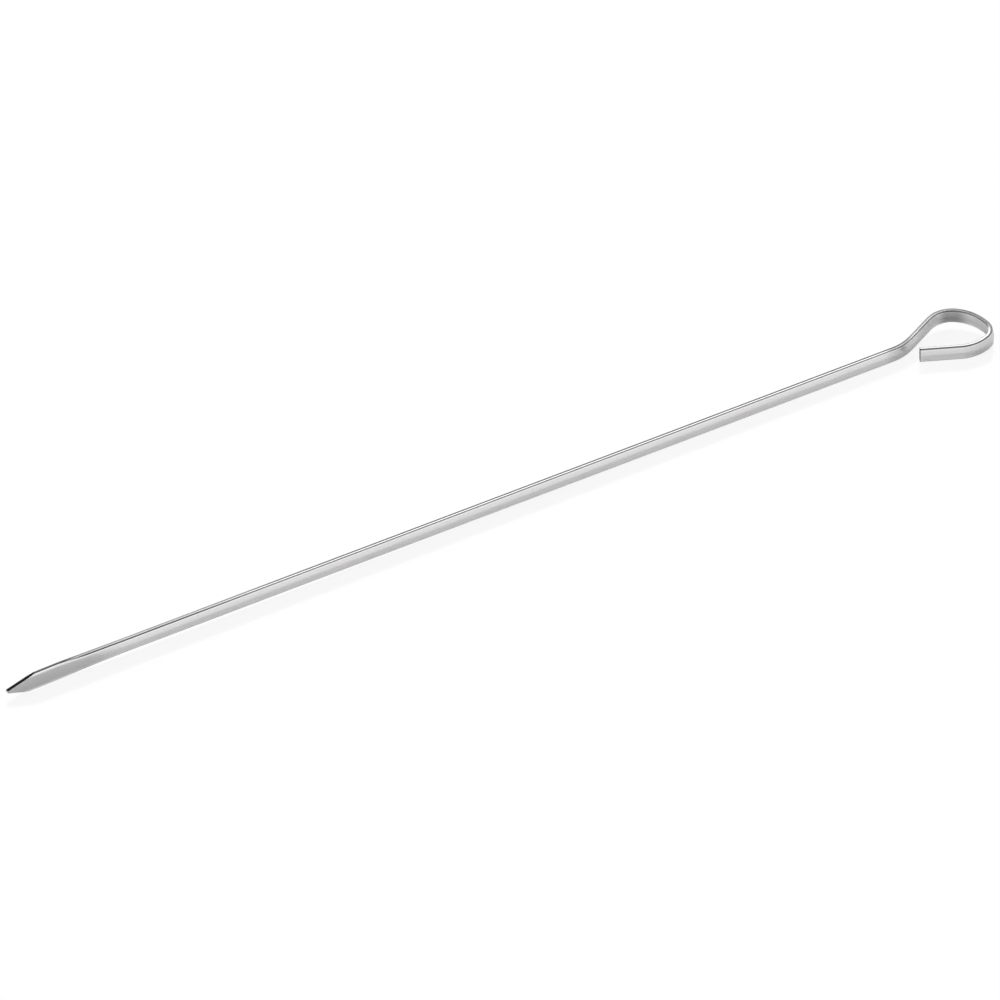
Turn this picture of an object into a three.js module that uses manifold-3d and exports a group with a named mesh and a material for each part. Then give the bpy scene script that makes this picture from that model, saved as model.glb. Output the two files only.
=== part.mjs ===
// Kebab skewer: one length of crowned flat steel bar. One end is pressed thin and wide and cropped to a
// point, the other is bent round into a teardrop eye whose free end stops short of the shank.
// Millimetres, +Z up, +X from the point to the eye, +Y the side that the eye's neck first turns to.
// The bar lies as it does on a table, on the heel of its blade and on the underside of its eye.

import * as THREE from 'three';
import { mergeVertices } from 'three/addons/utils/BufferGeometryUtils.js';
import Module from 'manifold-3d';

// Bar section
const barWidth = 4.8;
const barThickness = 1.9;
const crownRadius = 8.5;
const cornerRadius = 0.3;

// Shank, from the point to the first bend
const shankLength = 318.1;

// Blade, pressed flat from the bar at the point end and cropped to a blunt tip
const bladeWidth = 6;
const bladeThickness = 1.2;
const bladeLength = 18;
const runOutLength = 27;
const pointLength = 8.6;
const tipWidth = 0.7;

// The point end droops a little, on a long curve
const droop = 0.9;
const droopLength = bladeLength + runOutLength;

// Eye: neck bend, straight neck, shoulder, back, nose, return and straight tail
const neckRadius = 18.7;
const neckTurn = THREE.MathUtils.degToRad(24);
const neckLength = 10;
const shoulderRadius = 8.6;
const shoulderTurn = THREE.MathUtils.degToRad(62.5);
const backRadius = 15;
const backTurn = THREE.MathUtils.degToRad(44.5);
const noseRadius = 4.6;
const noseTurn = THREE.MathUtils.degToRad(80);
const returnRadius = 13;
const returnTurn = THREE.MathUtils.degToRad(41.5);
const tailLength = 12.8;

// The bar leans in the eye: its lower edge stands further out than its upper edge. The lean comes in as
// the shoulder turns and goes out again before the tail
const eyeLean = THREE.MathUtils.degToRad(6);
const leanRunIn = THREE.MathUtils.degToRad(50);
const leanRunOut = THREE.MathUtils.degToRad(60);

// The eye is sprung: between the neck and the tail, its far side stands up off the table
const eyeLift = 1.9;

// Fineness of the curved surfaces
const bendStep = THREE.MathUtils.degToRad(6);
const bladeSteps = 4;
const runOutSteps = 9;
const arcSegments = 2;

const steel = new THREE.MeshStandardMaterial({ color: 0xc4c4c2, roughness: 0.28, metalness: 1 });

// Section across the bar: x across the thickness, y up the width, with crowned faces and round corners
function barSection() {
  const cornerAngle = Math.asin((barWidth / 2 - cornerRadius) / (crownRadius - cornerRadius));
  const crownCentre = barThickness / 2 - crownRadius;
  const cornerX = crownCentre + (crownRadius - cornerRadius) * Math.cos(cornerAngle);
  const cornerY = barWidth / 2 - cornerRadius;
  const quarter = Math.PI / 2;
  const section = new THREE.Shape();
  section.absarc(crownCentre, 0, crownRadius, -cornerAngle, cornerAngle);
  section.absarc(cornerX, cornerY, cornerRadius, cornerAngle, quarter);
  section.absarc(-cornerX, cornerY, cornerRadius, quarter, 2 * quarter - cornerAngle);
  section.absarc(-crownCentre, 0, crownRadius, 2 * quarter - cornerAngle, 2 * quarter + cornerAngle);
  section.absarc(-cornerX, -cornerY, cornerRadius, 2 * quarter + cornerAngle, 3 * quarter);
  section.absarc(cornerX, -cornerY, cornerRadius, 3 * quarter, 4 * quarter - cornerAngle);
  return section;
}

const straight = (length, steps = 1) => ({ length, turn: 0, steps });
const bend = (radius, turn) => ({
  length: radius * Math.abs(turn),
  turn,
  steps: Math.ceil(Math.abs(turn) / bendStep),
});

// The bar's runs in order. A positive turn is to the left, towards +Y
const runs = [
  straight(bladeLength, bladeSteps),
  straight(runOutLength, runOutSteps),
  straight(shankLength - bladeLength - runOutLength),
  bend(neckRadius, neckTurn),
  straight(neckLength),
  bend(shoulderRadius, -shoulderTurn),
  bend(backRadius, -backTurn),
  bend(noseRadius, -noseTurn),
  bend(returnRadius, -returnTurn),
  straight(tailLength),
];

// The place reached after part of a run: a point in plan, the heading there and the distance gone
function along(start, run, share) {
  const length = run.length * share;
  const heading = start.heading + run.turn * share;
  const distance = start.distance + length;
  if (run.turn === 0) {
    const x = start.x + length * Math.cos(heading);
    const y = start.y + length * Math.sin(heading);
    return { x, y, heading, distance };
  }
  const radius = run.length / run.turn;
  const x = start.x + radius * (Math.sin(heading) - Math.sin(start.heading));
  const y = start.y - radius * (Math.cos(heading) - Math.cos(start.heading));
  return { x, y, heading, distance };
}

// Stations down the whole bar, one for each step of each run
function barStations() {
  const stations = [{ x: 0, y: 0, heading: 0, distance: 0 }];
  for (const run of runs) {
    const start = stations.at(-1);
    for (let step = 1; step <= run.steps; step += 1) stations.push(along(start, run, step / run.steps));
  }
  return stations;
}

// How far the bar is pressed at a distance from the point: 1 on the blade, fading over the run-out
function pressing(distance) {
  const left = THREE.MathUtils.clamp((bladeLength + runOutLength - distance) / runOutLength, 0, 1);
  return left * left;
}

// How far the point end has drooped at a distance from the point
function drooping(distance) {
  const left = Math.max(0, 1 - distance / droopLength);
  return droop * left * left;
}

// Angle that the bar leans by at a heading: nothing in the neck and the tail, most between them
function leaning(heading) {
  const tailHeading = neckTurn - shoulderTurn - backTurn - noseTurn - returnTurn;
  const share = Math.min((neckTurn - heading) / leanRunIn, (heading - tailHeading) / leanRunOut, 1);
  return eyeLean * Math.max(0, share);
}

// How far the bar stands up in the eye at a distance from the point: most halfway from the neck to the tail
const tailStart = runs.slice(0, -1).reduce((sum, run) => sum + run.length, 0);
function rising(distance) {
  const share = THREE.MathUtils.clamp((distance - shankLength) / (tailStart - shankLength), 0, 1);
  return (eyeLift * (1 - Math.cos(2 * Math.PI * share))) / 2;
}

// The straight bar is extruded with one level for each station, then pressed and bent level by level
function formBar() {
  const stations = barStations();
  const steps = stations.length - 1;
  const bar = new THREE.ExtrudeGeometry(barSection(), {
    depth: 1, steps, bevelEnabled: false, curveSegments: arcSegments,
  });
  const position = bar.attributes.position;
  const eyeStart = shankLength + neckRadius * neckTurn;
  for (let i = 0; i < position.count; i += 1) {
    const { x, y, heading, distance } = stations[Math.round(position.getZ(i) * steps)];
    const press = pressing(distance);
    const lean = distance > eyeStart ? leaning(heading) : 0;
    const height = position.getY(i) * THREE.MathUtils.lerp(1, bladeWidth / barWidth, press);
    const gap = THREE.MathUtils.lerp(barThickness, bladeThickness, press) / 2;
    const thick = THREE.MathUtils.clamp(position.getX(i), -gap, gap);
    const side = thick * Math.cos(lean) - height * Math.sin(lean);
    const above = thick * Math.sin(lean) + height * Math.cos(lean);
    const level = rising(distance) - drooping(distance);
    position.setXYZ(i, x - side * Math.sin(heading), y + side * Math.cos(heading), above + level);
  }
  return bar;
}

// Offcut above the point (way 1) or below it (way -1): a triangle beyond the cropping line, right
// through the blade
function offcut(way) {
  const overrun = 2 * bladeThickness;
  const before = -overrun;
  const past = pointLength + overrun;
  const croppingLine = (x) => (way * THREE.MathUtils.lerp(tipWidth, bladeWidth, x / pointLength)) / 2;
  const triangle = new THREE.Shape([
    new THREE.Vector2(before, croppingLine(before)),
    new THREE.Vector2(past, croppingLine(past)),
    new THREE.Vector2(before, croppingLine(past)),
  ]);
  const depth = 2 * bladeThickness;
  const block = new THREE.ExtrudeGeometry(triangle, { depth, bevelEnabled: false });
  block.rotateX(Math.PI / 2);
  block.translate(0, depth / 2, -droop);
  return block;
}

const wasm = await Module();
wasm.setup();

function toSolid(geometry) {
  geometry.deleteAttribute('normal');
  geometry.deleteAttribute('uv');
  const merged = mergeVertices(geometry);
  const vertProperties = new Float32Array(merged.attributes.position.array);
  const triVerts = new Uint32Array(merged.index.array);
  return new wasm.Manifold(new wasm.Mesh({ numProp: 3, vertProperties, triVerts }));
}

function toGeometry(solid) {
  const { vertProperties, triVerts } = solid.getMesh();
  const geometry = new THREE.BufferGeometry();
  geometry.setAttribute('position', new THREE.BufferAttribute(vertProperties, 3));
  geometry.setIndex(new THREE.BufferAttribute(triVerts, 1));
  geometry.computeVertexNormals();
  return geometry;
}

const bar = toSolid(formBar()).subtract(toSolid(offcut(1))).subtract(toSolid(offcut(-1)));
const skewer = new THREE.Mesh(toGeometry(bar), steel);
skewer.name = 'skewer';

// The blade's heel stands lower than the bar, so the bar sinks about it until the eye touches the table too
function restingSlope(geometry) {
  const positions = geometry.attributes.position;
  const corners = Array.from({ length: positions.count }, (_, i) =>
    new THREE.Vector3().fromBufferAttribute(positions, i));
  const heel = corners.reduce((lowest, corner) => (corner.z < lowest.z ? corner : lowest));
  const eye = corners.filter((corner) => corner.x >= shankLength);
  return Math.min(...eye.map((corner) => (corner.z - heel.z) / (corner.x - heel.x)));
}

skewer.rotation.y = Math.atan(restingSlope(skewer.geometry));

// The origin is on the table, under the middle of the bar's box
const box = new THREE.Box3().setFromObject(skewer, true);
const middle = box.getCenter(new THREE.Vector3());
skewer.position.set(-middle.x, -middle.y, -box.min.z);

const kebabSkewer = new THREE.Group();
kebabSkewer.add(skewer);

export default kebabSkewer;
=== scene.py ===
"""Kebab skewer of flat steel bar: the visual model, its materials, light and camera.

Metres, +Z up, +X from the point to the eye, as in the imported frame. The bar is modelled straight, then
pressed, bent round into its eye, cropped to a point and laid down on the table.
"""

import math
from functools import lru_cache

import bmesh
import bpy
from mathutils import Matrix, Vector


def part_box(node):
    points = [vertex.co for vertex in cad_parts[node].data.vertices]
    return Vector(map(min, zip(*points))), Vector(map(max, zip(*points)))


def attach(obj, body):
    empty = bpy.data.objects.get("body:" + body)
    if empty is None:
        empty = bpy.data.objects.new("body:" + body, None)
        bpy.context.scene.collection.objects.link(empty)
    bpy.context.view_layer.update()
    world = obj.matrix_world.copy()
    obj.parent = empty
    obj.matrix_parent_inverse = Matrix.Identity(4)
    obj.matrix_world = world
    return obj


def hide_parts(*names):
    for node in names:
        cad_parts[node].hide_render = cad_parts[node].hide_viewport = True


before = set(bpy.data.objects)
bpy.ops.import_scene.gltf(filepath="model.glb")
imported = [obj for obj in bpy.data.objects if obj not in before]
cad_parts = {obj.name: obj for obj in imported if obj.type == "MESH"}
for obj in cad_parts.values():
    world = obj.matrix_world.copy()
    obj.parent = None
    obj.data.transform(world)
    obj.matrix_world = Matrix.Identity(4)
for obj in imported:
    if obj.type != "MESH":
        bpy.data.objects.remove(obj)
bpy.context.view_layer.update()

MM = 0.001

# Bar section: two flat flanks to each wide face, which meet in a soft ridge, and round corners
BAR_WIDTH = 4.8 * MM
BAR_THICKNESS = 1.9 * MM
RIDGE_RADIUS = 3 * MM
FLANK_TILT = math.radians(7.2)
CORNER_RADIUS = 0.3 * MM

# Blade, pressed from the bar at the point end
SHANK_LENGTH = 318.1 * MM
BLADE_WIDTH = 6 * MM
BLADE_THICKNESS = 1.2 * MM
BLADE_LENGTH = 18 * MM
RUN_OUT_LENGTH = 27 * MM
PRESSED_LENGTH = BLADE_LENGTH + RUN_OUT_LENGTH
POINT_LENGTH = 8.6 * MM
TIP_WIDTH = 0.7 * MM

# The blade's flat reaches this far from the bar's middle line, before the bar is widened. Beyond it each
# face slopes in by the draft
FLAT_HEIGHT = 1.9 * MM
EDGE_DRAFT = 0.38

# The point end droops a little, on a long curve
DROOP = 0.9 * MM

# Eye: neck bend, straight neck, shoulder, back, nose, return and straight tail
NECK_RADIUS = 18.7 * MM
NECK_TURN = math.radians(24)
NECK_LENGTH = 10 * MM
SHOULDER_RADIUS = 8.6 * MM
SHOULDER_TURN = math.radians(62.5)
BACK_RADIUS = 15 * MM
BACK_TURN = math.radians(44.5)
NOSE_RADIUS = 4.6 * MM
NOSE_TURN = math.radians(80)
RETURN_RADIUS = 13 * MM
RETURN_TURN = math.radians(41.5)
TAIL_LENGTH = 12.8 * MM

# In the eye the bar leans, and stands up off the table between the neck and the tail
EYE_LEAN = math.radians(6)
LEAN_RUN_IN = math.radians(50)
LEAN_RUN_OUT = math.radians(60)
EYE_LIFT = 1.9 * MM

# The bar's runs in order, as length and turn. A positive turn is to the left, towards +Y
RUNS = [
    (SHANK_LENGTH, 0),
    (NECK_RADIUS * NECK_TURN, NECK_TURN),
    (NECK_LENGTH, 0),
    (SHOULDER_RADIUS * SHOULDER_TURN, -SHOULDER_TURN),
    (BACK_RADIUS * BACK_TURN, -BACK_TURN),
    (NOSE_RADIUS * NOSE_TURN, -NOSE_TURN),
    (RETURN_RADIUS * RETURN_TURN, -RETURN_TURN),
    (TAIL_LENGTH, 0),
]
BAR_LENGTH = sum(length for length, _ in RUNS)
TAIL_HEADING = sum(turn for _, turn in RUNS)
EYE_START = SHANK_LENGTH + NECK_RADIUS * NECK_TURN

# Fineness: rings of vertices down the bar, and steps round its section
PRESSED_SPACING = 0.5 * MM
SHANK_SPACING = 4 * MM
EYE_SPACING = 0.25 * MM
RIDGE_STEPS = 5
FLANK_STEPS = 6
CORNER_STEPS = 4
SAME_PLACE = 0.001 * MM
ON_THE_CUT = 0.0001 * MM
SHARP_ANGLE = math.radians(30)

# Softened edges of the cropped faces at the point and of the free end's face
CROP_EDGE = 0.09 * MM
END_EDGE = 0.12 * MM
EDGE_SEGMENTS = 3

# Material slots, and the attribute that keeps each vertex's place in the straight bar
DRAWN, SHEARED = 0, 1
BAR_PLACE = "bar_place"

# Drawn steel away from its zones: level, green and blue against red, roughness, depth of the draw lines
DRAWN_LEVEL = 0.95
DRAWN_GREEN = 0.986
DRAWN_BLUE = 0.993
DRAWN_ROUGHNESS = 0.23
LINE_DEPTH = 0.004 * MM

# Sheared steel: level at the point, a dull cut darkened to near black by painted shade, what the free end
# adds to it, roughness, and the tears' number and depth
POINT_LEVEL = 0.006
FREE_END_LEVEL = 0.11
SHEARED_ROUGHNESS = 0.42
TEARS_PER_MM = (9, 1.2, 9)
TEAR_DEPTH = 0.02 * MM

# Table: its half side, how white it is in the light and to the camera, and its polish
TABLE_HALF_SIDE = 6
TABLE_WHITE = 0.92
SHOWN_WHITE = 0.985
SHOWN_SHARE = 0.9
POLISH_SHARE = 0.018
POLISH_ROUGHNESS = 0.03

# Brightness of the room by how far up it is: 0 is level with the table and 1 is overhead
ROOM_LEVELS = [(0.0, 1.25), (0.2, 1.1), (0.45, 0.3), (0.75, 0.5), (1.0, 0.7)]

# Camera, far away and fitted to the skewer's outline in the photograph
CAMERA_AZIMUTH = math.radians(-31.6)
CAMERA_ELEVATION = math.radians(38.3)
AIM_RIGHT = -0.156 * MM
AIM_UP = 4.811 * MM
PIXELS_PER_METRE = 3265.66
IMAGE_WIDTH = 1000
LENS = 1500
SENSOR_WIDTH = 36


def lerp(a, b, share):
    return a + (b - a) * share


def clamp(value, low=0.0, high=1.0):
    return max(low, min(high, value))


def arc(bm, last, centre, angle, steps):
    """Carries the section's outline on from its last vertex round a centre in the section's plane."""
    spun = bmesh.ops.spin(bm, geom=[last], cent=centre, axis=(1, 0, 0), angle=angle, steps=steps)
    return next(v for v in spun["geom_last"] if isinstance(v, bmesh.types.BMVert))


def line(bm, last, move, steps=1):
    """Carries the section's outline on in a straight line."""
    for _ in range(steps):
        drawn = bmesh.ops.extrude_vert_indiv(bm, verts=[last])["verts"]
        bmesh.ops.translate(bm, verts=drawn, vec=Vector(move) / steps)
        last = drawn[0]
    return last


def bar_section(bm):
    """Face across the bar at its point end: y across the thickness, z up the width."""
    ridge_centre = BAR_THICKNESS / 2 - RIDGE_RADIUS
    ridge_y = ridge_centre + RIDGE_RADIUS * math.cos(FLANK_TILT)
    ridge_z = RIDGE_RADIUS * math.sin(FLANK_TILT)
    corner_z = BAR_WIDTH / 2 - CORNER_RADIUS
    flank_height = corner_z + CORNER_RADIUS * math.sin(FLANK_TILT) - ridge_z
    flank_fall = flank_height * math.tan(FLANK_TILT)
    corner_y = ridge_y - flank_fall - CORNER_RADIUS * math.cos(FLANK_TILT)
    corner_turn = math.pi / 2 - FLANK_TILT
    start = (0, ridge_y - flank_fall, -ridge_z - flank_height)
    last = bmesh.ops.create_vert(bm, co=start)["vert"][0]
    for side in (1, -1):
        last = line(bm, last, (0, side * flank_fall, side * flank_height), FLANK_STEPS)
        last = arc(bm, last, (0, side * ridge_centre, 0), 2 * FLANK_TILT, RIDGE_STEPS)
        last = line(bm, last, (0, -side * flank_fall, side * flank_height), FLANK_STEPS)
        last = arc(bm, last, (0, side * corner_y, side * corner_z), corner_turn, CORNER_STEPS)
        last = line(bm, last, (0, -2 * side * corner_y, 0))
        last = arc(bm, last, (0, -side * corner_y, side * corner_z), corner_turn, CORNER_STEPS)
    bmesh.ops.remove_doubles(bm, verts=bm.verts, dist=SAME_PLACE)
    return bmesh.ops.contextual_create(bm, geom=bm.edges[:])["faces"][0]


def ring_distances():
    """Distances from the point at which the bar has a ring of vertices."""
    rings = [0.0]
    for end, spacing in (
        (PRESSED_LENGTH, PRESSED_SPACING),
        (SHANK_LENGTH, SHANK_SPACING),
        (BAR_LENGTH, EYE_SPACING),
    ):
        start = rings[-1]
        steps = math.ceil((end - start) / spacing)
        rings += [lerp(start, end, step / steps) for step in range(1, steps + 1)]
    return rings


@lru_cache(maxsize=None)
def bar_line(distance):
    """Point in plan and heading of the bar's middle line at a distance from the point."""
    x = y = heading = 0.0
    left = distance
    for length, turn in RUNS:
        gone = min(left, length)
        if turn:
            radius = length / turn
            turned = heading + turn * gone / length
            x += radius * (math.sin(turned) - math.sin(heading))
            y -= radius * (math.cos(turned) - math.cos(heading))
            heading = turned
        else:
            x += gone * math.cos(heading)
            y += gone * math.sin(heading)
        left -= gone
        if left <= 0:
            break
    return x, y, heading


def pressing(distance):
    """How far the bar is pressed: 1 on the blade, fading over the run-out."""
    return clamp((PRESSED_LENGTH - distance) / RUN_OUT_LENGTH) ** 2


def drooping(distance):
    """How far the point end has drooped."""
    return DROOP * clamp(1 - distance / PRESSED_LENGTH) ** 2


def leaning(distance, heading):
    """Angle that the bar leans by: nothing in the neck and the tail, most between them."""
    if distance <= EYE_START:
        return 0.0
    coming_in = (NECK_TURN - heading) / LEAN_RUN_IN
    going_out = (heading - TAIL_HEADING) / LEAN_RUN_OUT
    return EYE_LEAN * clamp(min(coming_in, going_out))


def rising(distance):
    """How far the bar stands up off the table in the eye: most halfway from the neck to the tail."""
    share = clamp((distance - SHANK_LENGTH) / (BAR_LENGTH - TAIL_LENGTH - SHANK_LENGTH))
    return EYE_LIFT * (1 - math.cos(2 * math.pi * share)) / 2


def formed(straight):
    """Where a point of the straight bar goes when the bar has been pressed and bent."""
    distance, thick, height = straight
    x, y, heading = bar_line(distance)
    press = pressing(distance)
    gap = lerp(BAR_THICKNESS, BLADE_THICKNESS, press) / 2
    gap -= press * EDGE_DRAFT * max(0.0, abs(height) - FLAT_HEIGHT)
    thick = clamp(thick, -gap, gap)
    height *= lerp(1, BLADE_WIDTH / BAR_WIDTH, press)
    lean = leaning(distance, heading)
    side = thick * math.cos(lean) - height * math.sin(lean)
    above = thick * math.sin(lean) + height * math.cos(lean)
    level = rising(distance) - drooping(distance)
    return Vector((x - side * math.sin(heading), y + side * math.cos(heading), above + level))


def crop(bm, way):
    """Shears one side of the point off along a plane, above (1) or below (-1)."""
    slope = (BLADE_WIDTH - TIP_WIDTH) / 2 / POINT_LENGTH
    cut = bmesh.ops.bisect_plane(
        bm, geom=bm.verts[:] + bm.edges[:] + bm.faces[:], dist=ON_THE_CUT,
        plane_co=(0, 0, way * TIP_WIDTH / 2 - DROOP), plane_no=(-slope, 0, way), clear_outer=True,
    )
    edges = [e for e in cut["geom_cut"] if isinstance(e, bmesh.types.BMEdge)]
    for face in bmesh.ops.contextual_create(bm, geom=edges)["faces"]:
        face.material_index = SHEARED


def soften_cut_edges(bm, at_point, offset):
    """Rounds the edges of the sheared faces, those at the point or those at the free end."""
    edges = [
        e for e in bm.edges
        if len(e.link_faces) == 2
        and any(f.material_index == SHEARED for f in e.link_faces)
        and ((e.verts[0].co + e.verts[1].co).x / 2 < PRESSED_LENGTH) == at_point
    ]
    rounded = bmesh.ops.bevel(
        bm, geom=edges, offset=offset, offset_type="OFFSET", affect="EDGES", segments=EDGE_SEGMENTS,
        profile=0.5, material=-1, clamp_overlap=True,
    )
    for face in rounded["faces"]:
        face.material_index = DRAWN


def lay_down(bm):
    """Sinks the bar about the heel of its blade until the eye touches too, over the frame's origin."""
    heel = min((v.co for v in bm.verts), key=lambda co: co.z)
    eye = [v.co for v in bm.verts if v.co.x > SHANK_LENGTH]
    tilt = math.atan(min((co.z - heel.z) / (co.x - heel.x) for co in eye))
    bmesh.ops.rotate(bm, verts=bm.verts, matrix=Matrix.Rotation(tilt, 3, "Y"))
    low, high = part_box("skewer")
    middle = [(min(v.co[i] for v in bm.verts) + max(v.co[i] for v in bm.verts)) / 2 for i in (0, 1)]
    lowest = min(v.co.z for v in bm.verts)
    move = ((low.x + high.x) / 2 - middle[0], (low.y + high.y) / 2 - middle[1], low.z - lowest)
    bmesh.ops.translate(bm, verts=bm.verts, vec=move)


def make_skewer():
    """The bar is drawn out straight, ring by ring, then formed, cropped, softened and laid down."""
    bm = bmesh.new()
    point_face = cap = bar_section(bm)
    rings = ring_distances()
    for before, after in zip(rings, rings[1:]):
        grown = bmesh.ops.extrude_face_region(bm, geom=[cap])["geom"]
        if cap is not point_face:
            bmesh.ops.delete(bm, geom=[cap], context="FACES_ONLY")
        cap = next(f for f in grown if isinstance(f, bmesh.types.BMFace))
        bmesh.ops.translate(bm, verts=cap.verts, vec=(after - before, 0, 0))
    cap.material_index = SHEARED
    bmesh.ops.recalc_face_normals(bm, faces=bm.faces)
    place = bm.verts.layers.float_vector.new(BAR_PLACE)
    for v in bm.verts:
        v[place] = v.co / MM
        v.co = formed(v.co)
    crop(bm, 1)
    crop(bm, -1)
    bmesh.ops.recalc_face_normals(bm, faces=bm.faces)
    soften_cut_edges(bm, at_point=True, offset=CROP_EDGE)
    soften_cut_edges(bm, at_point=False, offset=END_EDGE)
    lay_down(bm)
    mesh = bpy.data.meshes.new("flat_bar_skewer")
    bm.to_mesh(mesh)
    bm.free()
    for polygon in mesh.polygons:
        polygon.use_smooth = True
    mesh.set_sharp_from_angle(angle=SHARP_ANGLE)
    skewer = bpy.data.objects.new("flat_bar_skewer", mesh)
    bpy.context.scene.collection.objects.link(skewer)
    return skewer


class Shade:
    """A value on its way through a node tree. Sums and products on it add Math nodes."""

    def __init__(self, tree, output=None):
        self.tree = tree
        self.output = output

    def node(self, kind, settings=None, sockets=None, output=0):
        """Adds a node of a type, with its settings and its sockets' values or links, for one output."""
        made = self.tree.nodes.new("ShaderNode" + kind)
        for name, value in (settings or {}).items():
            if name == "stops":
                ramp = made.color_ramp.elements
                while len(ramp) < len(value):
                    ramp.new(0.5)
                for stop, (position, level) in zip(ramp, value):
                    stop.position = position
                    stop.color = (level, level, level, 1)
            else:
                setattr(made, name, value)
        for name, value in (sockets or {}).items():
            if isinstance(value, Shade):
                self.tree.links.new(value.output, made.inputs[name])
            else:
                made.inputs[name].default_value = value
        return Shade(self.tree, made.outputs[output] if made.outputs else None)

    def math(self, operation, first, second=0.0):
        return self.node("Math", {"operation": operation}, {0: first, 1: second})

    def __add__(self, other):
        return self.math("ADD", self, other)

    def __radd__(self, other):
        return self.math("ADD", other, self)

    def __sub__(self, other):
        return self.math("SUBTRACT", self, other)

    def __rsub__(self, other):
        return self.math("SUBTRACT", other, self)

    def __mul__(self, other):
        return self.math("MULTIPLY", self, other)

    def __rmul__(self, other):
        return self.math("MULTIPLY", other, self)

    def parts(self):
        """The three numbers of a vector."""
        split = self.node("SeparateXYZ", sockets={0: self}).output.node
        return [Shade(self.tree, split.outputs[axis]) for axis in "XYZ"]

    def fade(self, low, high):
        """0 below low, 1 above high, smooth between."""
        return self.node("MapRange", {"interpolation_type": "SMOOTHSTEP"}, {
            "Value": self, "From Min": low, "From Max": high,
        })

    def zone(self, start, full, going, gone):
        """1 between full and going, 0 before start and after gone, smooth between."""
        return self.fade(start, full) * (1 - self.fade(going, gone))

    def swing(self, amount):
        """A noise made to swing about 0, half the amount each way at most."""
        return (self - 0.5) * amount

    def dimmed(self, *losses):
        """A level less the share of it that each zone takes, given as pairs of zone and share."""
        level = self
        for zone, share in losses:
            level = level * (1 - zone * share)
        return level


def new_material(name):
    """An empty material and the start of its node tree."""
    material = bpy.data.materials.new(name)
    material.use_nodes = True
    material.node_tree.nodes.clear()
    return material, Shade(material.node_tree)


def place_in_bar(tree):
    """Place in the straight bar, in millimetres: along it, across its thickness and up its width."""
    return tree.node("Attribute", {"attribute_name": BAR_PLACE}, output="Vector")


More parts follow.
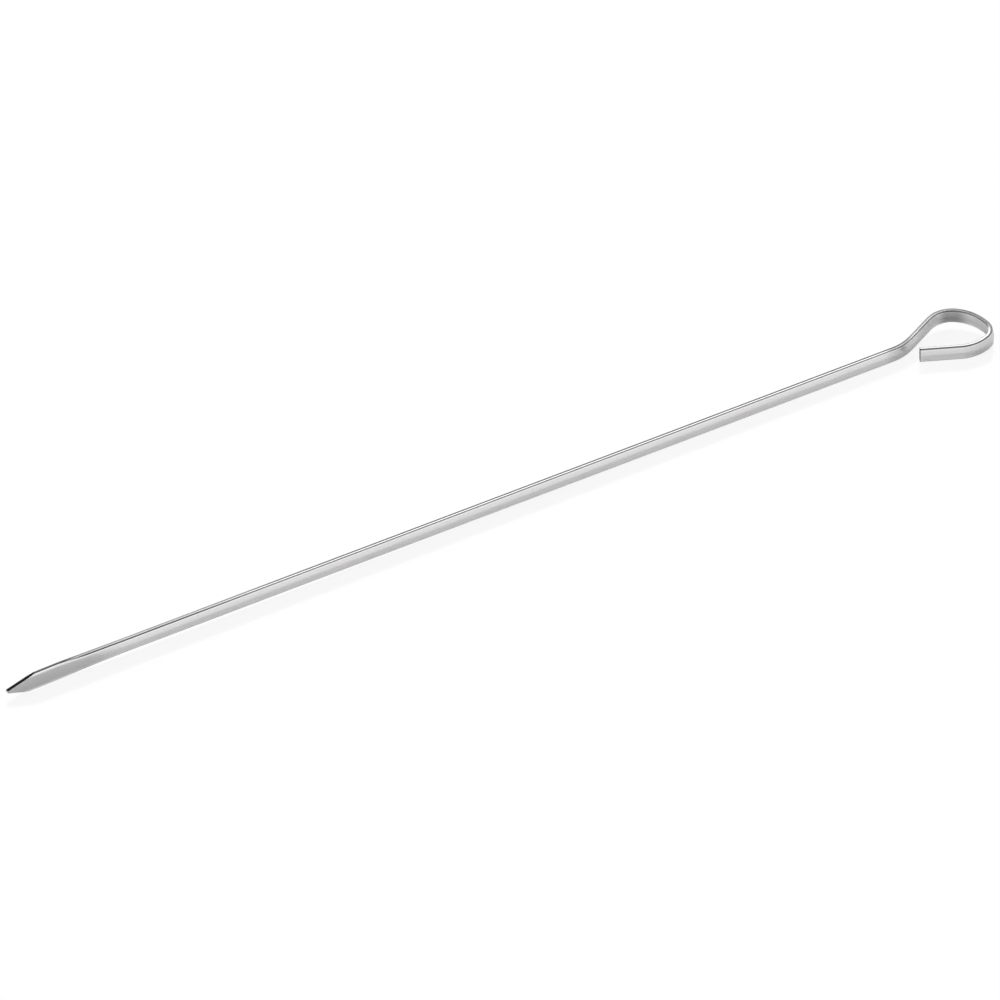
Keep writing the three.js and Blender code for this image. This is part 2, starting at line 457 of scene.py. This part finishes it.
def drawn_steel():
    """Cold-drawn stainless bar: lines along the bar, rougher corners and a grained blade, with painted light
    and
    shade: darker corners, neck, nose and shoulder, light and shade on the tail, highlight strips on the
    faces.
    """
    material, tree = new_material("Drawn_steel")
    place = place_in_bar(tree)
    run, thick, height = place.parts()
    out = tree.math("ABSOLUTE", height)

    def lines(length, width, detail):
        """Streaks along the bar of about a length and width in millimetres."""
        streaks = tree.node("VectorMath", {"operation": "DIVIDE"}, {0: place, 1: (length, width, width)})
        return tree.node("TexNoise", sockets={
            "Vector": streaks, "Scale": 1.0, "Detail": detail, "Roughness": 0.6,
        })

    fine = lines(length=40, width=0.09, detail=3.0)
    broad = lines(length=70, width=0.5, detail=2.0)
    smudge = tree.node("TexNoise", sockets={"Vector": place, "Scale": 0.16, "Detail": 3.0})
    grain = tree.node("TexNoise", sockets={"Vector": place, "Scale": 2.6, "Detail": 5.0, "Roughness": 0.7})

    # Zones along the bar, in millimetres from the point
    pressed = 1 - run.fade(20, 28)
    blade = 1 - run.fade(28, 42)
    run_out = run.zone(20, 28, 55, 105)
    neck = run.zone(314, 319, 323, 328)
    rise = run.zone(318, 322, 336, 342)
    eye = run.fade(326, 336)
    shoulder = run.zone(338, 342.5, 345.5, 351)
    nose = run.zone(347, 356, 365, 374)
    tail = run.fade(366, 373)
    end = run.fade(385.3, 385.5)

    # Zones across the bar, in millimetres from its middle: the narrow faces, the corners beside them, which
    # are rougher and darkened by painted shade, strips of the wide faces lightened by a painted highlight,
    # the blade's flat, the nose's outer side and the shoulder's inner side, both darkened by painted shade
    narrow = out.fade(2.34, 2.39)
    # Corners beside the narrow faces: rougher, and darkened by painted shade
    corner = (out + run_out * 0.03).fade(2.12, 2.2) * (1 - narrow) * (1 - pressed)
    # Painted highlight: strips of the wide faces beside the corners
    highlight_strip = out.fade(1.5, 1.8) * (1 - (out - pressed * 0.2).fade(2.0, 2.15))
    flat = blade * (1 - out.fade(1.85, 1.95))
    # Outer side of the nose: rougher from bending, and darkened by painted shade
    stretched_and_shaded = nose * thick.fade(0.3, 0.7)
    # Inner side of the shoulder: painted shade
    shoulder_inside_shade = shoulder * (1 - thick.fade(-0.6, -0.2))

    # The narrow faces are torn on the side where the slitting broke through, and burnished again in places
    torn_side = (thick * height - run.fade(355, 365) * 0.6).fade(-0.2, -0.06)
    burnished = nose * 0.35 + shoulder * 0.3 + run_out * 0.65 + rise * 0.3
    torn = narrow * tree.math("MAXIMUM", torn_side, pressed) * (1 - burnished)

    level = DRAWN_LEVEL + fine.swing(0.10) + broad.swing(0.06) + grain.swing(0.10) * blade
    # The blade's flat is dimmed; the nose's outer side and the neck are darkened by painted shade
    level = level.dimmed((flat, 0.25), (stretched_and_shaded, 0.2), (neck, 0.18))
    # Painted highlight on the strips beside the corners, strongest on the run-out
    level = level + highlight_strip * (0.1 + run_out * 0.25)
    # Painted light and shade: the tail darker above and lighter below, the shoulder's inner side and narrow
    # face darker, and the corners darker. The whole eye, the free end's edge, the narrow faces and their
    # torn side are dimmed too
    level = level.dimmed(
        (tail, height.fade(-1, 1) * 0.12 - 0.05), (eye, 0.06), (shoulder_inside_shade, 0.5), (shoulder * narrow, 0.1),
        (end, 0.6), (corner, 0.75 + run_out * 0.2), (narrow, 0.6 + run_out * 0.17), (torn, 0.8),
    )
    colour = tree.node("CombineColor", sockets={0: level, 1: level * DRAWN_GREEN, 2: level * DRAWN_BLUE})
    roughness = DRAWN_ROUGHNESS + fine.swing(0.14) + smudge.swing(0.10)
    roughness = roughness + blade * 0.08 + corner * 0.1 + torn * 0.2 + stretched_and_shaded * 0.1 + neck * 0.15
    relief = fine.swing(0.5) + broad * 0.5 + grain.swing(0.6) * blade
    bump = tree.node("Bump", sockets={"Strength": 0.5, "Distance": LINE_DEPTH, "Height": relief})
    steel = tree.node("BsdfPrincipled", sockets={
        "Base Color": colour, "Metallic": 1.0, "Roughness": roughness, "Normal": bump,
    })
    tree.node("OutputMaterial", sockets={"Surface": steel})
    return material


def sheared_steel():
    """Cut face: torn across the thickness, dull, darkened to near black at the point by painted shade, and
    dark at the free end.
    """
    material, tree = new_material("Sheared_steel")
    place = place_in_bar(tree)
    run, _, _ = place.parts()
    across = tree.node("VectorMath", {"operation": "MULTIPLY"}, {0: place, 1: TEARS_PER_MM})
    tears = tree.node("TexNoise", sockets={"Vector": across, "Scale": 1.0, "Detail": 4.0})
    free_end = run.fade(100, 200)
    # Near black at the point: the dull cut darkened further by painted shade
    level = (POINT_LEVEL + free_end * FREE_END_LEVEL) * (0.5 + tears)
    colour = tree.node("CombineColor", sockets={0: level, 1: level, 2: level})
    roughness = SHEARED_ROUGHNESS + tears.swing(0.2)
    bump = tree.node("Bump", sockets={"Strength": 0.6, "Distance": TEAR_DEPTH, "Height": tears})
    steel = tree.node("BsdfPrincipled", sockets={
        "Base Color": colour, "Metallic": 1.0, "Roughness": roughness, "Normal": bump,
    })
    tree.node("OutputMaterial", sockets={"Surface": steel})
    return material


def make_table():
    """White polished table, with a faint mirror image and a light shadow of the skewer."""
    bm = bmesh.new()
    bmesh.ops.create_grid(bm, x_segments=1, y_segments=1, size=TABLE_HALF_SIDE)
    mesh = bpy.data.meshes.new("table_top")
    bm.to_mesh(mesh)
    bm.free()
    table = bpy.data.objects.new("table_top", mesh)
    bpy.context.scene.collection.objects.link(table)
    material, tree = new_material("White_table")
    seen = tree.node("LightPath", output="Is Camera Ray")
    lit = tree.node("BsdfDiffuse", sockets={"Color": (TABLE_WHITE, TABLE_WHITE, TABLE_WHITE, 1)})
    plain = tree.node("Emission", sockets={"Color": (1, 1, 1, 1), "Strength": SHOWN_WHITE})
    surface = tree.node("MixShader", sockets={0: seen * SHOWN_SHARE, 1: lit, 2: plain})
    polish = tree.node("BsdfGlossy", sockets={"Roughness": POLISH_ROUGHNESS})
    polished = tree.node("MixShader", sockets={0: POLISH_SHARE, 1: surface, 2: polish})
    tree.node("OutputMaterial", sockets={"Surface": polished})
    mesh.materials.append(material)


def softbox(name, azimuth, elevation, distance, size, radiance):
    """Rectangular soft light that faces the skewer. Azimuth is from +X towards +Y, in degrees."""
    a, e = math.radians(azimuth), math.radians(elevation)
    towards = Vector((math.cos(a) * math.cos(e), math.sin(a) * math.cos(e), math.sin(e)))
    lamp = bpy.data.lights.new(name, "AREA")
    lamp.shape = "RECTANGLE"
    lamp.size, lamp.size_y = size
    lamp.energy = radiance * math.pi * size[0] * size[1]
    box = bpy.data.objects.new(name, lamp)
    box.location = towards * distance
    box.rotation_euler = towards.to_track_quat("Z", "Y").to_euler()
    box.visible_camera = False
    bpy.context.scene.collection.objects.link(box)


def make_light():
    """Two softboxes, in a room that is brightest near the level of the table."""
    softbox("back_softbox", azimuth=70, elevation=40, distance=3.0, size=(4.2, 1.2), radiance=3.4)
    softbox("camera_softbox", azimuth=-122, elevation=26, distance=1.6, size=(1.2, 1.0), radiance=0.66)
    world = bpy.data.worlds.new("studio")
    bpy.context.scene.world = world
    world.use_nodes = True
    world.node_tree.nodes.clear()
    tree = Shade(world.node_tree)
    _, _, up = tree.node("TexCoord", output="Generated").parts()
    room = tree.node("ValToRGB", {"stops": ROOM_LEVELS}, {0: up})
    tree.node("OutputWorld", sockets={
        "Surface": tree.node("Background", sockets={"Color": room, "Strength": 1.0})
    })


def make_camera():
    """Far camera with a long lens, from the photograph's side."""
    back = Vector((
        math.sin(CAMERA_AZIMUTH) * math.cos(CAMERA_ELEVATION),
        -math.cos(CAMERA_AZIMUTH) * math.cos(CAMERA_ELEVATION),
        math.sin(CAMERA_ELEVATION),
    ))
    right = Vector((math.cos(CAMERA_AZIMUTH), math.sin(CAMERA_AZIMUTH), 0))
    up = back.cross(right)
    distance = IMAGE_WIDTH / PIXELS_PER_METRE * LENS / SENSOR_WIDTH
    lens = bpy.data.cameras.new("camera")
    lens.lens = LENS
    lens.sensor_width = SENSOR_WIDTH
    lens.clip_end = 2 * distance
    camera = bpy.data.objects.new("camera", lens)
    camera.location = up * AIM_UP + right * AIM_RIGHT + back * distance
    camera.rotation_euler = back.to_track_quat("Z", "Y").to_euler()
    bpy.context.scene.collection.objects.link(camera)
    bpy.context.scene.camera = camera


make_camera()
make_table()
make_light()

skewer = make_skewer()
skewer.data.materials.append(drawn_steel())
skewer.data.materials.append(sheared_steel())
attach(skewer, "root")
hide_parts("skewer")

bpy.context.scene.view_settings.view_transform = "Standard"
